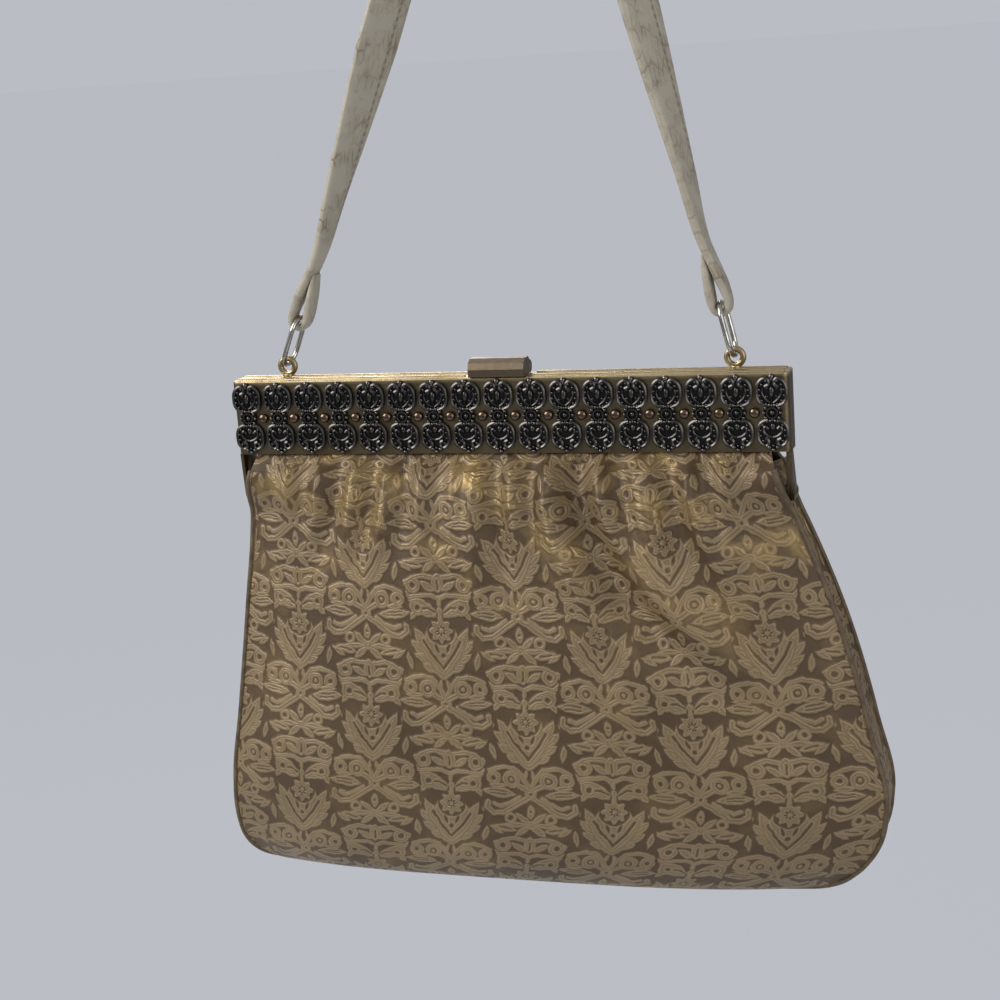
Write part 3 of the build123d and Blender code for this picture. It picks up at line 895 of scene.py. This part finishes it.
def disc(z, radius, thickness, corners):
    """A flat disc that lies on the plate."""
    bpy.ops.object.select_all(action="DESELECT")
    bpy.ops.mesh.primitive_cylinder_add(
        vertices=corners, radius=radius * MM, depth=thickness * MM, rotation=(pi / 2, 0, 0),
        location=Vector(on_band(0, z, thickness / 2)) * MM,
    )
    return bpy.context.object


def scroll(bends, radius, lift):
    """The same wire on the left and the right of a unit."""
    runs = [[on_band(side * scroll_narrowing * x, z, lift) for x, z in bends] for side in (-1, 1)]
    return [wire(run, radius, steps=5, sides=1) for run in runs]


def grain_ring(z, count, first, reach, reach_up, radius, lift):
    """Small grains on an oval, the first of them a share of a step round from the right."""
    grains = []
    for number in range(count):
        turn = 2 * pi * (number + first) / count
        place = on_band(reach * cos(turn), z + reach_up * sin(turn), lift)
        grains.append(bead(place, radius, fineness=1))
    return grains


print("unit pitch", round(unit_pitch, 2), "mm")

# %% One unit of the filigree
lobe_z, lobe_radius, lobe_thickness = 6.1, 4.75, 0.5
waist_radius, waist_thickness = 2.7, 0.6
unit_pieces = [disc(z, lobe_radius, lobe_thickness, 28) for z in (-lobe_z, lobe_z)]
unit_pieces.append(disc(0, waist_radius, waist_thickness, 20))

upper_outer = ((1.5, 2.0), (3.9, 3.2), (4.75, 6.3), (3.7, 9.6), (1.5, 10.3), (0.9, 8.7), (2.1, 7.9))
upper_inner = ((0.5, 3.0), (2.0, 4.2), (3.1, 6.2), (2.9, 7.4))
lower_outer = ((1.5, -2.0), (3.9, -3.2), (4.75, -6.2), (3.9, -9.2), (2.0, -9.9), (1.5, -8.4), (2.6, -7.7))
lower_inner = ((0.0, -7.4), (1.6, -6.9), (2.9, -5.4), (2.4, -4.2), (1.4, -4.8))
for bends, scroll_radius, scroll_lift in (
    (upper_outer, 0.52, 0.75),
    (upper_inner, 0.34, 0.7),
    (lower_outer, 0.52, 0.75),
    (lower_inner, 0.36, 0.8),
):
    unit_pieces += scroll(bends, scroll_radius, scroll_lift)
seed_radius, bead_lift = 0.85, 0.7
for seed_z, seed_length in ((6.3, 2.0), (-4.2, 1.3)):
    unit_pieces.append(bead(on_band(0, seed_z, bead_lift), seed_radius, (0.95, 0.64, seed_length)))

rosette_radius, rosette_wire, rosette_lift = 1.6, 0.36, 0.95
heart_radius, heart_lift = 0.7, 0.8
bpy.ops.mesh.primitive_torus_add(
    major_radius=rosette_radius * MM, minor_radius=rosette_wire * MM, major_segments=20, minor_segments=6,
    rotation=(pi / 2, 0, 0), location=Vector(on_band(0, 0, rosette_lift)) * MM,
)
unit_pieces.append(bpy.context.object)
unit_pieces.append(bead(on_band(0, 0, heart_lift), heart_radius, (1, 0.7, 1)))
unit_pieces += grain_ring(0, count=10, first=0, reach=2.5, reach_up=2.5, radius=0.58, lift=rosette_lift)
for bead_x, bead_z, bead_radius in (
    (0, 10.9, 0.95), (-1.25, -10.5, 0.72), (1.25, -10.5, 0.72), (0, -11.3, 0.72),
    (-3.1, 3.0, 0.5), (3.1, 3.0, 0.5), (-3.1, -3.0, 0.5), (3.1, -3.0, 0.5),
):
    unit_pieces.append(bead(on_band(bead_x, bead_z, bead_lift), bead_radius, (1, 0.95, 1)))

petal_x, petal_lean, petal_lift, petal_radius, grain_lift = 1.75, 0.7, 0.65, 0.55, 0.85
for centre_z in (-lobe_z, lobe_z):
    unit_pieces += grain_ring(
        centre_z, count=14, first=0.5, reach=3.75, reach_up=3.85, radius=0.48, lift=grain_lift
    )
    for petal_z, lean in ((1.5, petal_lean), (-1.6, -petal_lean)):
        for side in (-1, 1):
            petal_spot = on_band(side * petal_x, centre_z + petal_z, petal_lift)
            petal = bead(petal_spot, petal_radius, (1.0, 0.64, 1.9))
            petal.rotation_euler = (0, side * lean, 0)
            unit_pieces.append(petal)
stem_radius, stem_lift = 0.4, 0.55
stem_places = [on_band(0, z, stem_lift) for z in (-5.2, -2.0, 2.0, 5.0)]
unit_pieces.append(wire(stem_places, stem_radius, steps=3, sides=1))
print("pieces in a unit:", len(unit_pieces))

# %% The band of units
filigree = joined("filigree_scrolls", unit_pieces)
close_and_turn_out(filigree, 1e-7)
give(
    filigree, "ARRAY", count=unit_count, use_relative_offset=False, use_constant_offset=True,
    constant_offset_displace=(unit_pitch * MM, 0, 0),
)
smooth(filigree, 50)
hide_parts("filigree_band")
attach(filigree, "front_half")
report(filigree)

# %% Beads between the units
round_bead_radius, round_bead_lift, round_bead_shape = 1.6, 0.75, (1, 0.72, 1)
between = []
for number in range(unit_count - 1):
    bead_spot = on_band((number + 0.5) * unit_pitch, 0, round_bead_lift)
    between.append(bead(bead_spot, round_bead_radius, round_bead_shape, fineness=3))
filigree_beads = joined("filigree_round_beads", between)
smooth(filigree_beads, 60)
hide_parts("filigree_beads")
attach(filigree_beads, "front_half")
report(filigree_beads)

# %% Blackened metal
rub_start, rub_end = 0.85, 1.75
dark_finish, dark_shader, dark_place = new_finish("blackened_filigree")
toward_front = -dark_place.axis(1)
# Parts standing further from the plate are painted brighter: partly the real wear of the raised blackening,
# partly a painted highlight
rubbed = contrast(toward_front, (rub_start - plate_face_y) * MM, (rub_end - plate_face_y) * MM)
rub_cloud = contrast(noise(dark_place, 240.0, 3.0), 0.30, 0.75)
bright = rubbed * (rub_cloud * 0.6 + 0.4)
feed(
    dark_shader,
    # the lighter colour is part rubbed metal, part painted highlight
    Base_Color=bright.mix((0.026, 0.025, 0.025), (0.25, 0.225, 0.195)),
    Metallic=1.0,
    Roughness=0.30 - bright * 0.14,
    Normal=bump(noise(dark_place, 1500.0), 0.00005),
)
bronze_finish, bronze_shader, bronze_place = new_finish("bronze_beads")
bronze_cloud = contrast(noise(bronze_place, 300.0), 0.35, 0.7)
feed(
    bronze_shader,
    Base_Color=bronze_cloud.mix((0.15, 0.105, 0.075), (0.085, 0.058, 0.040)),
    Metallic=1.0,
    Roughness=bronze_cloud * 0.1 + 0.18,
    Normal=bump(noise(bronze_place, 1100.0), 0.00003),
)
filigree.data.materials.append(dark_finish)
filigree_beads.data.materials.append(bronze_finish)
print("blackened metal on the filigree")

# %% [markdown]
# ## Eyelets and links
# A brass ring stands on a collar near each end of the frame's top, and an oval link of bright wire hangs the
# bag from the strap. The CAD wire has flats, so both are made again as round wire in the same places.

# %% Bright wire
steel_finish, steel_shader, steel_place = new_finish("bright_link_wire")
steel_cloud = contrast(noise(steel_place, 300.0, 3.0), 0.4, 0.75)
feed(
    steel_shader,
    Base_Color=steel_cloud.mix((0.50, 0.47, 0.42), (0.30, 0.27, 0.23)),
    Metallic=1.0,
    Roughness=steel_cloud * 0.15 + 0.16,
    Normal=bump(noise(steel_place, 1200.0), 0.00003),
)
print("bright wire ready")

# %% Eyelets
eyelet_reach, eyelet_y, eyelet_ring_z = 73.0, 2.575, 171.55
ring_radius, ring_wire = 2.45, 0.95
collar_radius, collar_height, collar_z, collar_bevel = 1.7, 2.6, 167.8, 0.35
for side, side_name in sides:
    eyelet_x = side * eyelet_reach
    bpy.ops.object.select_all(action="DESELECT")
    bpy.ops.mesh.primitive_torus_add(
        major_radius=ring_radius * MM, minor_radius=ring_wire * MM, major_segments=40, minor_segments=16,
        rotation=(pi / 2, 0, 0), location=Vector((eyelet_x, eyelet_y, eyelet_ring_z)) * MM,
    )
    eye = bpy.context.object
    bpy.ops.mesh.primitive_cylinder_add(
        vertices=32, radius=collar_radius * MM, depth=collar_height * MM,
        location=Vector((eyelet_x, eyelet_y, collar_z)) * MM,
    )
    collar = bpy.context.object
    give(collar, "BEVEL", width=collar_bevel * MM, segments=3, limit_method="ANGLE")
    eyelet = joined(f"{side_name}_eyelet_ring", [eye, collar])
    eyelet.data.materials.append(brass_finish)
    smooth(eyelet, 50)
    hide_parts(f"{side_name}_eyelet")
    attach(eyelet, "bag")
    report(eyelet)

# %% Links
link_foot_z = 172.1
lean_left, lean_right = radians(22.4), radians(12.8)
link_reach, link_straight, link_end, link_wire, link_points = 16.4, 3.5, 4.7, 0.8, 32
left_foot = Vector((-eyelet_reach, eyelet_y, link_foot_z))
right_foot = Vector((eyelet_reach, eyelet_y, link_foot_z))
legs = {
    "left": (left_foot, Vector((sin(lean_left), 0, cos(lean_left)))),
    "right": (right_foot, Vector((-sin(lean_right), 0, cos(lean_right)))),
}
for side_name, (foot, up) in legs.items():
    link_middle = foot + up * (link_reach / 2)
    loop = []
    for number in range(link_points):
        turn = 2 * pi * number / link_points
        straight = link_straight if sin(turn) >= 0 else -link_straight
        across_link = Vector((0, link_end * cos(turn), 0))
        loop.append(link_middle + up * (link_end * sin(turn) + straight) + across_link)
    link = wire(loop, link_wire, closed=True, steps=4, sides=4)
    link.name = f"{side_name}_wire_link"
    link.data.materials.append(steel_finish)
    smooth(link, 60)
    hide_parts(f"{side_name}_link")
    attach(link, f"{side_name}_ring")
    report(link)

# %% [markdown]
# ## Strap
# The strap is a folded strip of pale leather, sewn along one edge. Each end turns round its link and is sewn
# back on itself, and each leg twists a little as it rises. A grid is rolled into a flat tube along the
# strap's line, so that width, thickness and twist can change on the way.

# %% Strap leather
seam_from_middle, stitch_pitch = 3.4, 2.6
strap_finish, strap_shader, strap_place = new_finish("pale_strap_leather", "UV")
stretched = strap_place.vector("MULTIPLY", (1.0, 0.35, 1.0))
cracks = stretched.node(
    "ShaderNodeTexVoronoi",
    {"feature": "DISTANCE_TO_EDGE"},
    {"Vector": stretched, "Scale": 0.55, "Randomness": 1.0},
)
crack_line = 1.0 - contrast(cracks, 0.02, 0.10)
soil = contrast(noise(strap_place, 0.12, 4.0), 0.42, 0.75)
seam_line = 1.0 - contrast(abs(strap_place.axis(0) - seam_from_middle), 0.25, 0.7)
stitch = contrast((strap_place.axis(1) * (2 * pi / stitch_pitch)).math("SINE"), -0.2, 0.2)
sewn = seam_line * (stitch * 0.35 + 0.35)
shade = (crack_line * soil * 0.85).math("MAXIMUM", sewn, clamp=True)
pale = soil.mix((0.41, 0.365, 0.285), (0.315, 0.27, 0.20))
feed(
    strap_shader,
    Base_Color=shade.mix(pale, (0.155, 0.108, 0.066)),
    Roughness=soil * 0.12 + 0.42,
    Metallic=0.08,
    Normal=bump(1.0 - shade * 0.7 - noise(strap_place, 2.2) * 0.3, 0.0003),
)
print("strap leather ready")

# %% Strap line
fold_rise, fold_radius, neck_rise = 15.68, 2.45, 19.0
tail_bends = ((16, 1.1), (8, 1.9), (2.5, fold_radius))
fold_turns = (0, 45, 90, 135, 180)
neck_bends = ((3.5, fold_radius), (10, 1.5), (neck_rise, 0))
leg_shares = (0.2, 0.4, 0.6, 0.8, 1.0)
arch_shares = (0.17, 0.33, 0.5, 0.67, 0.83)
arch_centre, arch_radius = Vector((12.818, eyelet_y, 301.583)), 30.0
inward = {
    "left": Vector((cos(lean_left), 0, -sin(lean_left))),
    "right": Vector((-cos(lean_right), 0, -sin(lean_right))),
}


def leg_points(side_name):
    """From the sewn-back end, round the link, up to the foot of the arch."""
    foot, up = legs[side_name]
    fold = foot + up * fold_rise
    inner = inward[side_name]
    points = [fold + up * rise + inner * aside for rise, aside in tail_bends]
    for turn in map(radians, fold_turns):
        points.append(fold + inner * (fold_radius * cos(turn)) - up * (fold_radius * sin(turn)))
    points += [fold + up * rise - inner * aside for rise, aside in neck_bends]
    start, top = points[-1], arch_centre - inner * arch_radius
    return points + [start.lerp(top, share) for share in leg_shares]


arch_start, arch_end = -inward["left"], -inward["right"]
arch_points = [arch_centre + arch_start.slerp(arch_end, share) * arch_radius for share in arch_shares]
strap_line = np.array(leg_points("left") + arch_points + leg_points("right")[::-1])
strap_steps = np.concatenate([[0], np.cumsum(np.linalg.norm(np.diff(strap_line, axis=0), axis=1))])
strap_length = strap_steps[-1]
print("strap line", round(float(strap_length)), "mm")

# %% Strap
fold_end = strap_steps[len(tail_bends + fold_turns + neck_bends) - 1]
width_places = (0, 8, 15, 24, 31, fold_end, fold_end + 22, fold_end + 70, strap_length)
widths = (5.6, 7.0, 5.6, 5.6, 7.2, 7.6, 9.6, 14.6, 15.5)
thickness_places = (0, 5, 13, 17, 24, 30, fold_end, strap_length)
thicknesses = (1.3, 2.6, 3.0, 2.4, 2.4, 3.1, 3.3, 3.1)
strap_twist, twist_power, tangent_step = radians(36), 0.8, 0.4
edge_power, face_power = 0.55, 0.8
strap_columns, strap_rows = 32, 420


def on_strap_line(travel):
    """Points of the strap's line, after a length from its left end."""
    travel = np.clip(travel, 0, strap_length)
    return np.stack([follow(travel, strap_steps, strap_line[:, axis]) for axis in range(3)], 1)


def squared(wave, power):
    """A wave from -1 to 1 with fuller tops, for a section between an oval and a rectangle."""
    return np.sign(wave) * np.abs(wave) ** power


def strap_places(across, along):
    """A ring of points about the strap's line: flat, with rounded edges."""
    travel = (1 + along) / 2 * strap_length
    from_end = np.minimum(travel, strap_length - travel)
    tangent = on_strap_line(travel + tangent_step) - on_strap_line(travel - tangent_step)
    tangent /= np.linalg.norm(tangent, axis=1)[:, None]
    turn = np.arctan2(tangent[:, 0], tangent[:, 2])
    normal = np.stack([-np.cos(turn), np.zeros_like(turn), np.sin(turn)], 1)
    sideways = np.tile((0.0, 1.0, 0.0), (len(travel), 1))
    leg_share = np.clip((from_end - fold_end) / (strap_length / 2 - fold_end), 0, 1)
    hand = np.where(travel < strap_length / 2, -1, 1)
    twist = strap_twist * np.sin(pi * leg_share) ** twist_power * hand
    broad = sideways * np.cos(twist)[:, None] + normal * np.sin(twist)[:, None]
    thin = normal * np.cos(twist)[:, None] - sideways * np.sin(twist)[:, None]
    edge = squared(np.cos(across * pi), edge_power) * np.interp(from_end, width_places, widths) / 2
    face = squared(np.sin(across * pi), face_power) * np.interp(from_end, thickness_places, thicknesses) / 2
    moved = on_strap_line(travel) + broad * edge[:, None] + thin * face[:, None]
    return moved, np.stack([edge, travel], 1)


strap = shaped_grid("strap_leather_strip", strap_columns, strap_rows, strap_places)
close_and_turn_out(strap)
bpy.ops.object.mode_set(mode="EDIT")
bpy.ops.mesh.select_all(action="DESELECT")
bpy.ops.mesh.select_non_manifold()
bpy.ops.mesh.edge_face_add()
bpy.ops.object.mode_set(mode="OBJECT")
strap.data.materials.append(strap_finish)
smooth(strap, 50)
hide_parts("strap")
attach(strap, "handle")
report(strap)
